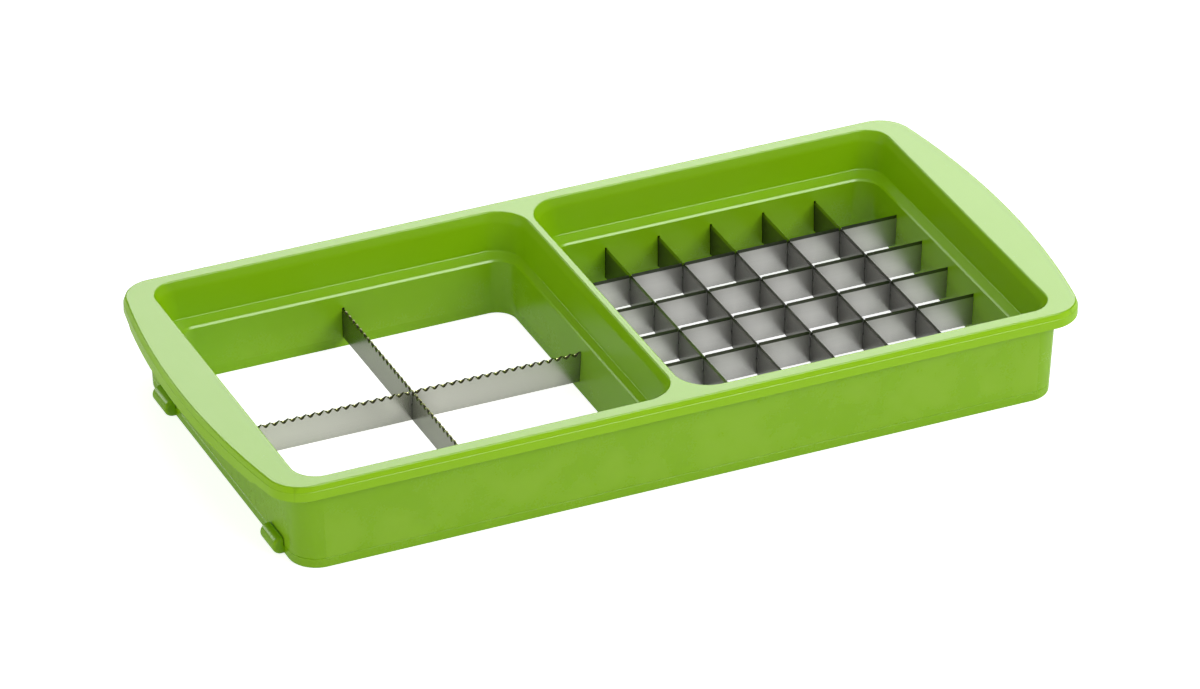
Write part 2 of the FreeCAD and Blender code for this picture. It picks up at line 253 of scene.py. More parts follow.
# ------------------------------------------------------------------ mesh tools
class Shell:
    """Collects rings of points and the faces between them."""

    def __init__(self):
        self.verts, self.faces = [], []

    def ring(self, points):
        first = len(self.verts)
        self.verts += [tuple(p) for p in points]
        return list(range(first, first + len(points)))

    def join(self, lower, upper):
        count = len(lower)
        for i in range(count):
            j = (i + 1) % count
            self.faces.append((lower[i], lower[j], upper[j], upper[i]))

    def stack(self, rings):
        """Joins the rings in order and returns the first and the last."""
        ids = [self.ring(r) for r in rings]
        for lower, upper in zip(ids, ids[1:]):
            self.join(lower, upper)
        return ids[0], ids[-1]

    def solid(self, rings):
        """Stack closed at both ends."""
        first, last = self.stack(rings)
        self.faces.append(tuple(first[::-1]))
        self.faces.append(tuple(last))

    def plane(self, loops):
        """Level face bounded by the first loop, with the others as holes."""
        ids = [i for loop in loops for i in loop]
        flat = [[Vector((self.verts[i][0], self.verts[i][1], 0.0)) for i in loop]
                for loop in loops]
        for triangle in tessellate_polygon(flat):
            face = tuple(ids[i] for i in triangle)
            if len(set(face)) == 3:
                self.faces.append(face)

    def build(self, name):
        mesh = bpy.data.meshes.new(name)
        mesh.from_pydata(self.verts, [], self.faces)
        mesh.update()
        bm = bmesh.new()
        bm.from_mesh(mesh)
        bmesh.ops.remove_doubles(bm, verts=bm.verts, dist=1e-5)
        bmesh.ops.recalc_face_normals(bm, faces=bm.faces)
        bm.to_mesh(mesh)
        bm.free()
        return link_object(name, mesh)


def link_object(name, data):
    obj = bpy.data.objects.new(name, data)
    bpy.context.scene.collection.objects.link(obj)
    return obj


def drop_mesh(mesh):
    if mesh.users == 0:
        bpy.data.meshes.remove(mesh)


def boolean(body, tool, operation):
    """Applies tool to body and removes tool."""
    modifier = body.modifiers.new("boolean", "BOOLEAN")
    modifier.operation = operation
    modifier.solver = "EXACT"
    modifier.object = tool
    graph = bpy.context.evaluated_depsgraph_get()
    graph.update()
    result = bpy.data.meshes.new_from_object(body.evaluated_get(graph))
    old = body.data
    body.modifiers.clear()
    body.data = result
    drop_mesh(old)
    tool_mesh = tool.data
    bpy.data.objects.remove(tool)
    drop_mesh(tool_mesh)


def solid_object(name, rings):
    shell = Shell()
    shell.solid(rings)
    return shell.build(name)


def blocks(name, boxes):
    """Boxes given as x0, x1, y0, y1, z0, z1."""
    shell = Shell()
    for x0, x1, y0, y1, z0, z1 in boxes:
        shell.solid([[(x0, y0, z), (x1, y0, z), (x1, y1, z), (x0, y1, z)] for z in (z0, z1)])
    return shell.build(name)


def peg_tubes(name, radius, z0, z1, chamfer=0):
    """One upright cylinder at each peg position."""
    shell = Shell()
    for peg_y in PEG_Y:
        def circle(r, z):
            angles = [2 * math.pi * i / TUBE_STEPS for i in range(TUBE_STEPS)]
            return [(r * math.cos(a), peg_y + r * math.sin(a), z) for a in angles]
        rings = [circle(radius, z0), circle(radius, z1 - chamfer)]
        if chamfer > 0:
            rings.append(circle(radius - chamfer, z1))
        shell.solid(rings)
    return shell.build(name)


def keep_flat_outlines(mesh, bm, axis):
    """Marks the outline of the faces square to axis as sharp."""
    sharp = mesh.attributes.get("sharp_edge")
    sharp = sharp or mesh.attributes.new("sharp_edge", "BOOLEAN", "EDGE")
    for i, edge in enumerate(bm.edges):
        flat = [f for f in edge.link_faces if abs(f.normal[axis]) > 0.999999]
        border = len(edge.link_faces) == 2 and len(flat) == 1
        if border or any(f.calc_area() > 5.0 for f in flat):
            sharp.data[i].value = True


def finish_mesh(obj, sharp_angle, flat_axis):
    """Cleans up, scales from mm to m, and sets the shading."""
    mesh = obj.data
    bm = bmesh.new()
    bm.from_mesh(mesh)
    bmesh.ops.remove_doubles(bm, verts=bm.verts, dist=2e-4)
    bmesh.ops.dissolve_degenerate(bm, dist=1e-4, edges=bm.edges)
    bmesh.ops.dissolve_limit(bm, angle_limit=math.radians(0.02), use_dissolve_boundaries=False,
                             verts=bm.verts, edges=bm.edges, delimit={"MATERIAL"})
    bmesh.ops.recalc_face_normals(bm, faces=bm.faces)
    bmesh.ops.holes_fill(bm, edges=[e for e in bm.edges if e.is_boundary], sides=6)
    if bm.calc_volume() < 0:
        bmesh.ops.reverse_faces(bm, faces=bm.faces)
    bm.to_mesh(mesh)
    mesh.transform(Matrix.Scale(0.001, 4))
    mesh.shade_smooth()
    mesh.set_sharp_from_angle(angle=math.radians(sharp_angle))
    if flat_axis is not None:
        keep_flat_outlines(mesh, bm, flat_axis)
    bm.free()
    mesh.update()
    normals = obj.modifiers.new("normals", "WEIGHTED_NORMAL")
    normals.keep_sharp = True
    normals.mode = "FACE_AREA"
    normals.weight = 80


class Strip:
    """Place and size of a blade, and points given along and across it."""

    def __init__(self, node):
        low, high = mm_box(node)
        self.along_x = high[0] - low[0] > high[1] - low[1]
        self.axis = 0 if self.along_x else 1
        across = 1 - self.axis
        self.start, self.end = low[self.axis], high[self.axis]
        self.mid = (low[across] + high[across]) / 2
        self.half = (high[across] - low[across]) / 2
        self.bottom, self.top = low[2], high[2]

    def point(self, along, across, z):
        return (along, across, z) if self.along_x else (across, along, z)

    def section(self, along, outline):
        return [self.point(along, self.mid + offset, z) for offset, z in outline]

    def block(self, start, end, half, z0, z1):
        length, width = (start, end), (self.mid - half, self.mid + half)
        return (length + width if self.along_x else width + length) + (z0, z1)

    def cutter(self, outline):
        """Rings of a prism through the blade; outline holds (along, z)."""
        return [[self.point(along, across, z) for along, z in outline]
                for across in (self.mid - CUT_HALF, self.mid + CUT_HALF)]

    def crossing(self, node):
        """Position along this blade of the middle of another node."""
        low, high = mm_box(node)
        return (low[self.axis] + high[self.axis]) / 2


BLADES = [node for node in sorted(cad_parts) if "blade" in node]


# ------------------------------------------------------------------ upper frame
def window_skin():
    """Stations down the wall of a window, from the rim to the seam."""
    lead_in = (RIM[0] - 4, RIM[1] + 4, RIM[2] + 4, RIM[3] + 4, RIM[4] + 4, RIM_Z)
    flare = mix(RIM, CREASE, 0.42)[:5] + (RIM_Z - 2.8,)
    stations = [
        lead_in + (0,),
        RIM + (0.6,),
        flare + (7.0,),
        CREASE + (0.5,),
        mix(EDGE, CREASE, 0.15) + (0.2,),
        foot_at(EDGE[5] - 0.35) + (0.2,),
        foot_at(SEAM_Z) + (0,),
    ]
    return rounded(stations, axes=(2, 5), steps=10)[1:]


def upper_skin():
    """Outer skin of the upper frame, filled solid between skirt and windows."""
    under = RIM_Z - PLATE_T
    # inset, z, corner radius: over the rim, down the lip and back under the plate
    lip_profile = rounded([
        (4.0, RIM_Z, 0), (0.66, RIM_Z, 0.6), (0.14, RIM_Z - 1.74, 0.04),
        (0.02, RIM_Z - 1.82, 0.04), (0.0, FLANGE_Z, 0.35), (LIP_T, FLANGE_Z, 0.2),
        (LIP_T, under, 0.35), (4.0, under, 0)])[1:-1]
    skirt_profile = rounded([
        (-3.0, under, 0), (0.0, under, 0.4), (0.0, SEAM_Z + SEAM_CHAMFER, 0),
        (SEAM_CHAMFER, SEAM_Z, 0)], steps=6)[1:]
    shell = Shell()
    top, lip_inside = shell.stack([
        flange(inset, z, FLANGE_Z - TAB_Z if z < FLANGE_Z + 0.6 else 0.0)
        for inset, z in lip_profile])
    skirt_top, skirt_bottom = shell.stack([skirt(inset, z) for inset, z in skirt_profile])
    shell.plane([lip_inside, skirt_top])
    tops, bottoms = [top], [skirt_bottom]
    for side in (-1, 1):
        upper, lower = shell.stack([window(side, station) for station in window_skin()])
        tops.append(upper)
        bottoms.append(lower)
    shell.plane(tops)
    shell.plane(bottoms)
    return shell.build("upper_frame_body")


def upper_hollow():
    """Space between the skirt, the walls of the wells and the peg bosses."""
    hollow = solid_object("hollow", [skirt(SKIRT_T, SEAM_Z - 1.0),
                                     skirt(SKIRT_T, RIM_Z - PLATE_T)])
    for side in (-1, 1):
        well = solid_object("well", [
            window(side, foot_at(SEAM_Z - 2.0), WELL_T),
            window(side, EDGE, WELL_T),
            window(side, CREASE, WELL_UPPER_T),
            window(side, mix(CREASE, RIM, 0.97), WELL_UPPER_T)])
        boolean(hollow, well, "DIFFERENCE")
    boolean(hollow, peg_tubes("bosses", BOSS_R, SEAM_Z - 2.0, BOSS_TOP_Z), "DIFFERENCE")
    return hollow


def tab_ribs():
    """Ribs below the end tabs, with a softened lower edge."""
    x_in = SKIRT_X + 0.6
    top = RIM_Z - 1.0
    shell = Shell()
    for side in (-1, 1):
        for y in RIB_Y:
            x_out = BOW_X + math.sqrt((BOW_R - LIP_T) ** 2 - y * y) + 0.5
            front, back = y - RIB_T / 2, y + RIB_T / 2
            # y, lift of the lower edge
            layers = ((front, 0.3), (front + 0.09, 0.09), (front + 0.3, 0.0),
                      (back - 0.3, 0.0), (back - 0.09, 0.09), (back, 0.3))
            shell.solid([[(side * x_in, layer_y, top),
                          (side * x_in, layer_y, RIB_ROOT_Z + lift * 1.3),
                          (side * x_out, layer_y, TAB_Z + 1.0 + lift),
                          (side * x_out, layer_y, top)] for layer_y, lift in layers])
    return shell.build("ribs")


def blade_slots():
    """Cutters for the slots that hold the blade ends in the walls of the wells."""
    boxes = []
    for node in BLADES:
        strip = Strip(node)
        half, z0, z1 = strip.half + SLOT_GAP, SEAM_Z - 0.5, strip.top + SLOT_GAP
        boxes.append(strip.block(strip.start - SLOT_END_GAP, strip.start + SLOT_L, half, z0, z1))
        boxes.append(strip.block(strip.end - SLOT_L, strip.end + SLOT_END_GAP, half, z0, z1))
    return blocks("slots", boxes)


def build_upper():
    body = upper_skin()
    boolean(body, upper_hollow(), "DIFFERENCE")
    sockets = peg_tubes("sockets", SOCKET_R, SEAM_Z - 1.0, SEAM_Z + SOCKET_H)
    boolean(body, sockets, "DIFFERENCE")
    boolean(body, tab_ribs(), "UNION")
    boolean(body, blade_slots(), "DIFFERENCE")
    return body


# ------------------------------------------------------------------ base frame
def base_skin():
    profile = rounded([
        (4.0, 0.0, 0), (0.0, 0.0, 0.5), (0.0, SEAM_Z - SEAM_CHAMFER, 0),
        (SEAM_CHAMFER, SEAM_Z, 0)], steps=7)[1:]
    shell = Shell()
    bottom, top = shell.stack([skirt(inset, z) for inset, z in profile])
    bottoms, tops = [bottom], [top]
    for side in (-1, 1):
        rings = []
        for k in range(6):
            angle = k / 5 * math.pi / 2
            z = FOOT_ROUND - FOOT_ROUND * math.cos(angle)
            grow = FOOT_ROUND - FOOT_ROUND * math.sin(angle)
            rings.append(window(side, FOOT[:5] + (z,), grow))
        rings.append(window(side, foot_at(SEAM_Z)))
        lower, upper = shell.stack(rings)
        bottoms.append(lower)
        tops.append(upper)
    shell.plane(bottoms)
    shell.plane(tops)
    return shell.build("base_frame_body")


def tongue():
    """Upright band that plugs into the skirt of the upper frame."""
    outer = SKIRT_T + TONGUE_GAP
    inner = outer + TONGUE_T
    root, top = SEAM_Z - TONGUE_ROOT, SEAM_Z + TONGUE_H
    chamfer_in, chamfer_down = TONGUE_CHAMFER
    profile = ((outer, root), (outer, top - chamfer_down), (outer + chamfer_in, top),
               (inner, top), (inner, root))
    shell = Shell()
    ids = [shell.ring(skirt(inset, z)) for inset, z in profile]
    for ring, following in zip(ids, ids[1:] + ids[:1]):
        shell.join(ring, following)
    return shell.build("tongue")


def lug_section(y, inset):
    """Section of a hook lug: a round nose at -X, open to the skirt by a narrow gap."""
    radius = LUG_NOSE_R - inset
    outline = [(LUG_ROOT_X, LUG_NOSE_Z - LUG_NOSE_R + inset)]
    steps = 22
    for k in range(steps + 1):
        angle = -math.pi / 2 - math.pi * k / steps
        outline.append((LUG_NOSE_X + radius * math.cos(angle),
                        LUG_NOSE_Z + radius * math.sin(angle)))
    top = LUG_NOSE_Z + LUG_NOSE_R - inset - 0.02
    soft = LUG_CORNER * 0.29     # middle point of the rounded corner
    outline += [(LUG_GAP_X - LUG_CORNER, top), (LUG_GAP_X - soft, top - soft),
                (LUG_GAP_X, top - LUG_CORNER), (LUG_GAP_X, SEAM_Z - 0.2),
                (LUG_ROOT_X, SEAM_Z - 0.2)]
    return [(x, y, z) for x, z in outline]


def hook_lugs():
    steps = 8
    angles = [math.pi / 2 * k / steps for k in range(steps + 1)]
    shell = Shell()
    for y0, y1 in LUG_Y:
        rings = [lug_section(y0 + LUG_SIDE_R - LUG_SIDE_R * math.cos(a),
                             LUG_SIDE_R - LUG_SIDE_R * math.sin(a)) for a in angles]
        rings += [lug_section(y1 - LUG_SIDE_R + LUG_SIDE_R * math.cos(a),
                              LUG_SIDE_R - LUG_SIDE_R * math.sin(a)) for a in angles[::-1]]
        shell.solid(rings)
    return shell.build("lugs")


def build_base():
    body = base_skin()
    boolean(body, tongue(), "UNION")
    pegs = peg_tubes("pegs", PEG_R, SEAM_Z - 0.5, SEAM_Z + PEG_H, chamfer=0.5)
    boolean(body, pegs, "UNION")
    boolean(body, hook_lugs(), "UNION")
    return body


# ------------------------------------------------------------------ blades
# Half-lap joints: blades along X are notched from above, blades along Y from below.
def dice_blade(node):
    """Blade with a double ground bevel and a lead-in corner at both ends."""
    strip = Strip(node)
    half, bottom, top = strip.half, strip.bottom, strip.top
    outline = [(-half + BLADE_CHAMFER, bottom), (half - BLADE_CHAMFER, bottom),
               (half, bottom + BLADE_CHAMFER), (half, top - BEVEL_H),
               (BEVEL_TIP, top), (-BEVEL_TIP, top),
               (-half, top - BEVEL_H), (-half, bottom + BLADE_CHAMFER)]
    body = solid_object(node + "_body", [strip.section(strip.start, outline),
                                         strip.section(strip.end, outline)])
    if strip.along_x:
        crossing_kind, z0, z1 = "short", LAP_Z - LAP_GAP, top + 1
    else:
        crossing_kind, z0, z1 = "long", bottom - 1, LAP_Z + LAP_GAP
    notch = half + CROSS_GAP
    cuts = []
    for other in sorted(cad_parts):
        if crossing_kind in other:
            middle = strip.crossing(other)
            cuts.append(strip.block(middle - notch, middle + notch, CUT_HALF, z0, z1))
    boolean(body, blocks("cuts", cuts), "DIFFERENCE")

    corners = Shell()
    for end, inward in ((strip.start, 1), (strip.end, -1)):
        corners.solid(strip.cutter([
            (end - inward, top + 1), (end - inward, top - END_LEAD), (end, top - END_LEAD),
            (end + inward * END_LEAD, top), (end + inward * END_LEAD, top + 1)]))
    boolean(body, corners.build("ends"), "DIFFERENCE")
    return body


def serrated_section(half, bottom, top, offset):
    """Section at offset from the middle of a gullet, as a share of half a pitch."""
    gullet = GULLET_D * max(0.0, 1 - (offset / GULLET_SPAN) ** 2)
    grind = GRIND_MIN
    if offset < GRIND_SPAN:
        grind = max(GRIND_MIN, GRIND_H * (1 - (offset / GRIND_SPAN) ** 1.6))
    low = gullet + grind
    blend = max(0.0, min(1.0, (GRIND_SPAN - offset) / GRIND_FADE))
    ridge = (-half + 0.02) + ((half - 0.10) - (-half + 0.02)) * blend
    outline = [(-half + BLADE_CHAMFER, bottom), (half - BLADE_CHAMFER, bottom),
               (half, bottom + BLADE_CHAMFER), (half, top - gullet - BLADE_CHAMFER),
               (half - BLADE_CHAMFER, top - gullet)]
    for j in range(GRIND_STEPS + 1):
        share = j / GRIND_STEPS
        outline.append((ridge + (-half - ridge) * share,
                        (top - gullet) + (gullet - low) * (share ** 1.3)))
    outline.append((-half, bottom + BLADE_CHAMFER))
    return outline


def serrated_blade(node):
    """Blade with shallow gullets along the top edge. Every gullet is ground
    from the face towards -Y or -X, which leaves a V-shaped hollow bevel."""
    strip = Strip(node)
    half, bottom, top = strip.half, strip.bottom, strip.top
    half_count = int(((strip.end - strip.start) / 2 - TOOTH_MARGIN) / TOOTH_PITCH)
    first = (strip.start + strip.end) / 2 - half_count * TOOTH_PITCH
    stations = [first + TOOTH_PITCH * i / TOOTH_STEPS
                for i in range(2 * half_count * TOOTH_STEPS + 1)]

    def gullet_offset(along):
        teeth = (along - first) / TOOTH_PITCH
        if teeth <= 1e-6 or teeth >= 2 * half_count - 1e-6:
            return 1.0
        return abs(teeth - math.floor(teeth) - 0.5) * 2

    body = solid_object(node + "_body", [
        strip.section(along, serrated_section(half, bottom, top, gullet_offset(along)))
        for along in [strip.start] + stations + [strip.end]])

    notch = half + CROSS_GAP
    other = [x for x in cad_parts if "quarter" in x and x != node][0]
    middle = strip.crossing(other)
    left, right = middle - notch, middle + notch
    if strip.along_x:
        flare_left, flare_right = middle - CROSS_FLARE_HALF, middle + CROSS_FLARE_HALF
        flare_z = top - CROSS_FLARE_H
        cut = solid_object("cut", strip.cutter([
            (left, LAP_Z - LAP_GAP), (right, LAP_Z - LAP_GAP), (right, flare_z),
            (flare_right, top), (flare_right, top + 1),
            (flare_left, top + 1), (flare_left, top), (left, flare_z)]))
    else:
        cut = blocks("cut", [strip.block(left, right, CUT_HALF, bottom - 1, LAP_Z + LAP_GAP)])
    boolean(body, cut, "DIFFERENCE")
    return body


# ------------------------------------------------------------------ materials
class Nodes:
    """Empty node tree of a material or world, with helpers that add to it."""

    def __init__(self, owner):
        owner.use_nodes = True
        self.tree = owner.node_tree
        self.tree.nodes.clear()

    def add(self, kind, **settings):
        node = self.tree.nodes.new("ShaderNode" + kind)
        for key, value in settings.items():
            setattr(node, key, value)
        return node

    def feed(self, socket, value):
        """Links value to the socket, or sets it if it is a plain value."""
        if isinstance(value, bpy.types.NodeSocket):
            self.tree.links.new(value, socket)
        else:
            socket.default_value = value

    def coords(self, scale=(1, 1, 1)):
        source = self.add("TexCoord")
        mapping = self.add("Mapping")
        self.feed(mapping.inputs["Scale"], scale)
        self.feed(mapping.inputs["Vector"], source.outputs["Object"])
        return mapping.outputs["Vector"]

    def noise(self, vector, scale, detail=3.0, roughness=0.5):
        node = self.add("TexNoise")
        self.feed(node.inputs["Scale"], scale)
        self.feed(node.inputs["Detail"], detail)
        self.feed(node.inputs["Roughness"], roughness)
        self.feed(node.inputs["Vector"], vector)
        return node.outputs["Fac"]

    def remap(self, value, source, target=(0.0, 1.0)):
        """Maps the range source to the range target, clamped."""
        node = self.add("MapRange", clamp=True)
        for socket, limit in zip(node.inputs[1:5], source + target):
            self.feed(socket, limit)
        self.feed(node.inputs[0], value)
        return node.outputs[0]

    def blend(self, factor, color_a, color_b):
        node = self.add("Mix", data_type="RGBA")
        for index, value in ((0, factor), (6, color_a), (7, color_b)):
            self.feed(node.inputs[index], value)
        return node.outputs[2]

    def math(self, operation, first, second=0.0):
        node = self.add("Math", operation=operation)
        self.feed(node.inputs[0], first)
        self.feed(node.inputs[1], second)
        return node.outputs[0]

    def xyz(self, vector):
        node = self.add("SeparateXYZ")
        self.feed(node.inputs[0], vector)
        return node.outputs

    def bump(self, surface, main, extra, extra_share, strength, distance):
        node = self.add("Bump")
        self.feed(node.inputs["Strength"], strength)
        self.feed(node.inputs["Distance"], distance)
        height = self.math("ADD", main, self.math("MULTIPLY", extra, extra_share))
        self.feed(node.inputs["Height"], height)
        self.feed(surface.inputs["Normal"], node.outputs[0])


def new_material(name):
    material = bpy.data.materials.new(name)
    nodes = Nodes(material)
    output = nodes.add("OutputMaterial")
    surface = nodes.add("BsdfPrincipled")
    nodes.feed(output.inputs[0], surface.outputs[0])
    return material, nodes, surface


def lip_light_mask(nodes, geometry):
    """1 on the outward faces of the lip round the flange, where a painted highlight goes;
    positions in metres.
    """
    place_xyz = nodes.xyz(geometry.outputs["Position"])
    normal_xyz = nodes.xyz(geometry.outputs["Normal"])
    near_y = nodes.remap(nodes.math("ABSOLUTE", place_xyz[1]), source=(0.0652, 0.0656))
    near_x = nodes.remap(nodes.math("ABSOLUTE", place_xyz[0]), source=(0.1272, 0.1276))
    side = nodes.math("MAXIMUM", near_y, near_x)
    high = nodes.remap(place_xyz[2], source=(0.0254, 0.0258))
    mask = nodes.math("MULTIPLY", side, high)
    upright = nodes.remap(normal_xyz[2], source=(0.45, 0.85), target=(1.0, 0.0))
    return nodes.math("MULTIPLY", mask, upright)


def plastic(name, base, deep, pale):
    """Glossy plastic with faint mottling and paler, rougher worn edges."""
    material, nodes, surface = new_material(name)
    vector = nodes.coords()
    broad = nodes.noise(vector, scale=14.0, detail=2.0)
    mottle = nodes.noise(vector, scale=90.0)
    fine = nodes.noise(vector, scale=1500.0, detail=2.0, roughness=0.6)
    color = nodes.blend(nodes.remap(broad, source=(0.3, 0.7)), deep, base)
    flecks = nodes.remap(mottle, source=(0.35, 0.75), target=(0.0, 0.035))
    color = nodes.blend(flecks, color, pale)
    geometry = nodes.add("NewGeometry")
    edge = nodes.remap(geometry.outputs["Pointiness"], source=(0.515, 0.60))
    wear = nodes.remap(mottle, source=(0.4, 0.62), target=(0.10, 0.40))
    worn = nodes.math("MULTIPLY", edge, wear)
    color = nodes.blend(worn, color, pale)
    # painted highlight: the outward faces of the lip round the flange are painted lighter,
    # standing in for the extra light that band catches
    lip = lip_light_mask(nodes, geometry)
    lip_light_multiply = nodes.add("VectorMath", operation="MULTIPLY")
    nodes.feed(lip_light_multiply.inputs[0], color)
    painted_lip_light_tint = (1.24, 1.19, 0.85, 1)
    nodes.feed(lip_light_multiply.inputs[1], nodes.blend(lip, (1, 1, 1, 1), painted_lip_light_tint))
    nodes.feed(surface.inputs["Base Color"], lip_light_multiply.outputs[0])
    rough_mottle = nodes.remap(mottle, source=(0.3, 0.7), target=(0.225, 0.245))
    rough_fine = nodes.remap(fine, source=(0.3, 0.7), target=(0.0, 0.03))
    rough = nodes.math("ADD", rough_mottle, rough_fine)
    worn_roughness = 0.15
    rough = nodes.math("ADD", rough, nodes.math("MULTIPLY", worn, worn_roughness))
    nodes.feed(surface.inputs["Roughness"], rough)
    nodes.feed(surface.inputs["IOR"], 1.49)
    # less gloss at grazing angles
    facing = nodes.add("LayerWeight")
    nodes.feed(facing.inputs["Blend"], 0.5)
    gloss = nodes.remap(facing.outputs["Facing"], source=(0.52, 0.64), target=(0.34, 0.10))
    nodes.feed(surface.inputs["Specular IOR Level"], gloss)
    nodes.bump(surface, fine, mottle, extra_share=0.8, strength=0.06, distance=0.0002)
    return material


def steel(name, along_x, base, roughness, ground):
    """Polished stamped strip: fine grinding lines along the length. ground is
    the colour painted on the faces ground at an angle, a painted reflection
    that sets them darker or lighter than the flat faces."""
    material, nodes, surface = new_material(name)
    line_scale = (12, 400, 1500) if along_x else (400, 12, 1500)
    line = nodes.noise(nodes.coords(line_scale), scale=1.0, roughness=0.6)
    vector = nodes.coords()
    cloud = nodes.noise(vector, scale=60.0, roughness=0.55)
    fine = nodes.noise(vector, scale=900.0, detail=2.0)
    line_shade = 0.965
    dark = tuple(c * line_shade for c in base[:3]) + (1,)
    color = nodes.blend(nodes.remap(line, source=(0.3, 0.7)), dark, base)
    # edges, found where the bevelled normal leaves the true one
    geometry = nodes.add("NewGeometry")
    bevel = nodes.add("Bevel", samples=4)
    nodes.feed(bevel.inputs["Radius"], 0.00025)
    dot = nodes.add("VectorMath", operation="DOT_PRODUCT")
    nodes.feed(dot.inputs[0], bevel.outputs[0])
    nodes.feed(dot.inputs[1], geometry.outputs["True Normal"])
    edge = nodes.remap(dot.outputs["Value"], source=(0.99, 0.80), target=(0.0, 0.5))
    edge_color = (0.48, 0.48, 0.46, 1)
    color = nodes.blend(edge, color, edge_color)
    # painted reflection: faces ground at an angle take the ground colour
    normal_z = nodes.xyz(geometry.outputs["True Normal"])[2]
    bevel_reflection_mask = nodes.remap(nodes.math("ABSOLUTE", normal_z), source=(0.06, 0.14))
    color = nodes.blend(bevel_reflection_mask, color, ground)
    # painted shade: darker deep between the blades, where they shade each other
    occlusion = nodes.add("AmbientOcclusion", samples=8)
    nodes.feed(occlusion.inputs["Distance"], 0.009)
    openness = nodes.remap(occlusion.outputs["AO"], source=(0.50, 0.92))
    shade_share, shade_color = 0.55, (0.06, 0.06, 0.055, 1)
    shaded = nodes.blend(shade_share, color, shade_color)
    nodes.feed(surface.inputs["Base Color"], nodes.blend(openness, shaded, color))
    nodes.feed(surface.inputs["Metallic"], 1.0)
    rough_line = nodes.remap(line, source=(0.3, 0.7), target=(roughness, roughness + 0.02))
    rough_cloud = nodes.remap(cloud, source=(0.35, 0.7), target=(0.0, 0.03))
    nodes.feed(surface.inputs["Roughness"], nodes.math("ADD", rough_line, rough_cloud))
    nodes.bump(surface, line, fine, extra_share=0.4, strength=0.02, distance=0.00003)
    return material


GREEN_UPPER = plastic("green_moulded_plastic", base=(0.256, 0.516, 0.003, 1),
                      deep=(0.248, 0.503, 0.002, 1), pale=(0.35, 0.60, 0.05, 1))
GREEN_BASE = plastic("green_moulded_plastic_base", base=(0.253, 0.511, 0.003, 1),
                     deep=(0.245, 0.497, 0.002, 1), pale=(0.35, 0.60, 0.05, 1))
# Each pair is keyed by whether the blade runs along X. Both are the same steel:
# # the along-X copy is painted lighter and the along-Y copy darker, painted light
# # and shade for how each set of faces catches the light and reflects its neighbours
DICE_STEEL = {
    True: steel("steel_strip_x_painted_lit", True, base=(0.80, 0.80, 0.765, 1),
                roughness=0.28, ground=(0.17, 0.17, 0.155, 1)),
    False: steel("steel_strip_y_painted_shaded", False, base=(0.225, 0.223, 0.205, 1),
                 roughness=0.20, ground=(0.45, 0.45, 0.42, 1)),
}
# painted light and shade as above; the yellow-green cast, strongest on the bevels, is a painted
# reflection of the green frame
SERRATED_STEEL = {
    True: steel("serrated_steel_x_painted_lit", True, base=(0.67, 0.67, 0.60, 1),
                roughness=0.20, ground=(0.24, 0.25, 0.11, 1)),
    False: steel("serrated_steel_y_painted_shaded", False, base=(0.35, 0.362, 0.295, 1),
                 roughness=0.20, ground=(0.24, 0.25, 0.12, 1)),
}


# ------------------------------------------------------------------ assembly
def place(obj, node, material, sharp_angle=30.0, flat_axis=None):
    obj.name = node + "_look"
    obj.data.name = obj.name
    obj.data.materials.clear()
    obj.data.materials.append(material)
    finish_mesh(obj, sharp_angle, flat_axis)
    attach(obj, "root")
    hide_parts(node)


place(build_upper(), "upper_frame", GREEN_UPPER)
place(build_base(), "base_frame", GREEN_BASE)
for node in BLADES:
    along_x = Strip(node).along_x
    if node.startswith("dice_blade"):
        place(dice_blade(node), node, DICE_STEEL[along_x], sharp_angle=6.0)
    else:
        place(serrated_blade(node), node, SERRATED_STEEL[along_x],
              sharp_angle=40.0, flat_axis=1 if along_x else 0)

# ------------------------------------------------------------------ stage
FLOOR_HALF = 3000.0              # mm
FLOOR_Z = -0.02                  # mm
FLOOR_CELLS = 24
FLOOR_COLOR = 0.74
FLOOR_GLOW = 0.10                # glow towards the object
FLOOR_GLOW_GLOSSY = 0.34         # glow in reflections
FLOOR_GLOW_CAMERA = 0.80         # glow towards the camera, so that the floor reads as white


def floor_material():
    material, nodes, surface = new_material("pale_floor")
    vector = nodes.coords()
    patches = nodes.remap(nodes.noise(vector, scale=3.0, detail=2.0), source=(0.3, 0.7))
    pale = FLOOR_COLOR * 1.02
    nodes.feed(surface.inputs["Base Color"],
               nodes.blend(patches, (FLOOR_COLOR,) * 3 + (1,), (pale,) * 3 + (1,)))
    nodes.feed(surface.inputs["Roughness"], 0.8)
    nodes.feed(surface.inputs["Specular IOR Level"], 0.05)
    nodes.feed(surface.inputs["Emission Color"], (1, 1, 1, 1))
    rays = nodes.add("LightPath")
    camera_glow = nodes.remap(rays.outputs["Is Camera Ray"], source=(0.0, 1.0),
                              target=(FLOOR_GLOW, FLOOR_GLOW_CAMERA))
    glossy_glow = nodes.remap(rays.outputs["Is Glossy Ray"], source=(0.0, 1.0),
                              target=(0.0, FLOOR_GLOW_GLOSSY - FLOOR_GLOW))
    glow = nodes.math("ADD", camera_glow, glossy_glow)
    nodes.feed(surface.inputs["Emission Strength"], glow)
    return material


def build_floor():
    row = FLOOR_CELLS + 1
    ticks = [-FLOOR_HALF + 2 * FLOOR_HALF * i / FLOOR_CELLS for i in range(row)]
    verts = [(x * 0.001, y * 0.001, FLOOR_Z * 0.001) for y in ticks for x in ticks]
    corners = [j * row + i for j in range(FLOOR_CELLS) for i in range(FLOOR_CELLS)]
    mesh = bpy.data.meshes.new("studio_floor")
    mesh.from_pydata(verts, [], [(k, k + 1, k + row + 1, k + row) for k in corners])
    obj = link_object("studio_floor", mesh)
    mesh.materials.append(floor_material())


build_floor()

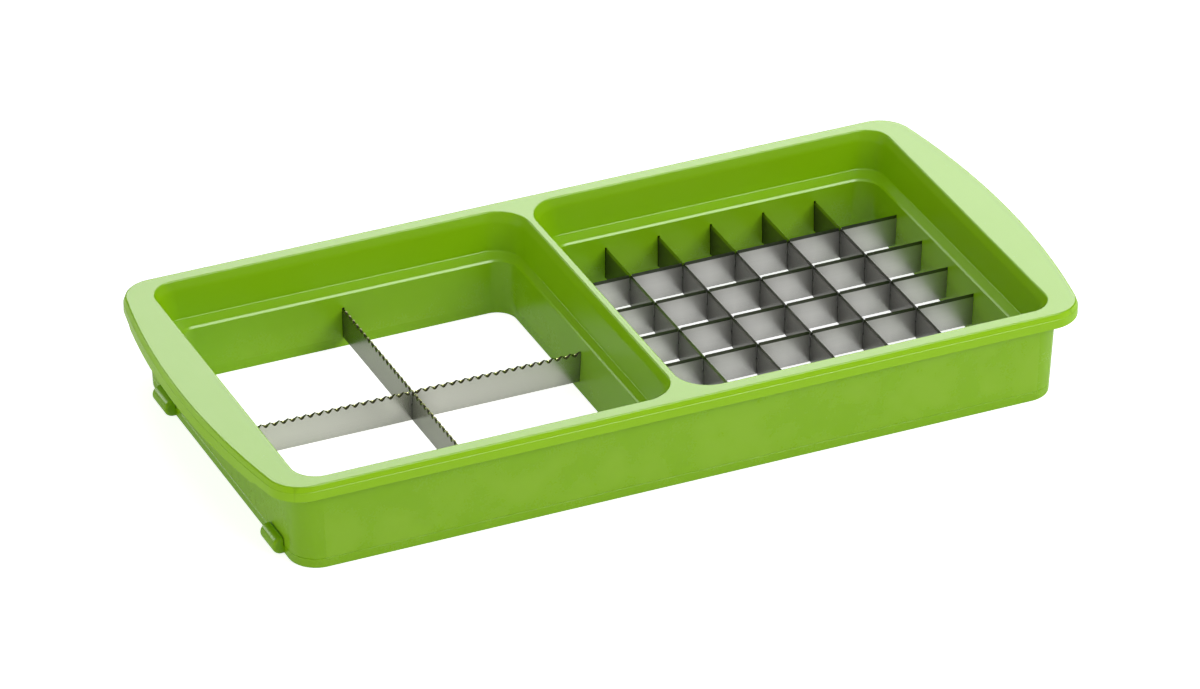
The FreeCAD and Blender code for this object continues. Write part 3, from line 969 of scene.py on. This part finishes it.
# name, azimuth from +Y towards +X and elevation in degrees, distance, width and height
# in metres, radiance, seen in reflections, lights matt surfaces
SOFTBOXES = (
    ("softbox_back_right", 31, 28, 1.6, 1.15, 0.85, 5.6, True, False),
    ("softbox_back_fill", 31, 28, 1.6, 1.15, 0.85, 1.8, False, True),
    ("softbox_top", 0, 90, 1.5, 0.9, 0.9, 1.4, True, True),
    ("glint_front_right", 132, 61, 1.6, 0.65, 0.65, 14.0, True, False),
    ("glint_back_left", -35, 17, 1.6, 0.45, 0.45, 5.5, True, False),
    ("softbox_front_right", 150, 32, 1.6, 0.9, 0.7, 4.9, False, True),
    ("softbox_front_left", -150, 30, 1.6, 0.9, 0.7, 0.5, False, True),
    ("softbox_left", -90, 10, 1.6, 0.9, 0.6, 3.2, False, True),
    ("softbox_right", 90, 30, 1.6, 0.9, 0.7, 3.2, False, True),
)


def softbox(name, azimuth, elevation, distance, width, height, radiance, glossy, diffuse):
    """Rectangular light aimed at the origin."""
    a, e = math.radians(azimuth), math.radians(elevation)
    location = Vector((distance * math.sin(a) * math.cos(e),
                       distance * math.cos(a) * math.cos(e), distance * math.sin(e)))
    light = bpy.data.lights.new(name, "AREA")
    light.shape = "RECTANGLE"
    light.size, light.size_y = width, height
    light.energy = radiance * math.pi * width * height
    obj = link_object(name, light)
    obj.location = location
    obj.rotation_euler = (Vector((0, 0, 0)) - location).to_track_quat("-Z", "Y").to_euler()
    obj.visible_glossy = glossy
    obj.visible_diffuse = diffuse


for row in SOFTBOXES:
    softbox(*row)


def build_world():
    """White surroundings, dimmer in reflections."""
    world = bpy.data.worlds.new("studio")
    bpy.context.scene.world = world
    nodes = Nodes(world)
    output = nodes.add("OutputWorld")
    background = nodes.add("Background")
    nodes.feed(background.inputs[0], (1, 1, 1, 1))
    rays = nodes.add("LightPath")
    strength = nodes.remap(rays.outputs["Is Glossy Ray"], source=(0.0, 1.0),
                           target=(0.27, 0.12))
    nodes.feed(background.inputs[1], strength)
    nodes.feed(output.inputs[0], background.outputs[0])


build_world()
bpy.context.scene.view_settings.view_transform = "Standard"
bpy.context.scene.view_settings.look = "None"

# ------------------------------------------------------------------ camera
CAMERA_AZIMUTH = -0.42288        # radians, from -Y towards +X
CAMERA_ELEVATION = 0.530896      # radians
CAMERA_DISTANCE = 2.456366       # metres
CAMERA_RIGHT, CAMERA_UP = 0.0018765, -0.00063284  # sideways offsets, metres
AIM_HEIGHT = 0.015               # metres above the underside


def build_camera():
    azimuth, elevation = CAMERA_AZIMUTH, CAMERA_ELEVATION
    back = Vector((math.sin(azimuth) * math.cos(elevation),
                   -math.cos(azimuth) * math.cos(elevation), math.sin(elevation)))
    forward = -back
    right = forward.cross(Vector((0, 0, 1))).normalized()
    up = right.cross(forward)
    data = bpy.data.cameras.new("camera")
    data.sensor_width = 36.0
    data.lens = 241.8489
    data.shift_x = -0.00559166667
    data.shift_y = 0.000580833333
    data.clip_start, data.clip_end = 0.05, 20.0
    camera = bpy.data.objects.new("camera", data)
    aim = Vector((0, 0, CAD_BOX[0][2] + AIM_HEIGHT))
    place_at = aim + back * CAMERA_DISTANCE + right * CAMERA_RIGHT + up * CAMERA_UP
    axes = Matrix((right, up, back)).transposed().to_4x4()
    camera.matrix_world = Matrix.Translation(place_at) @ axes
    bpy.context.scene.collection.objects.link(camera)
    bpy.context.scene.camera = camera


build_camera()

bpy.context.view_layer.update()
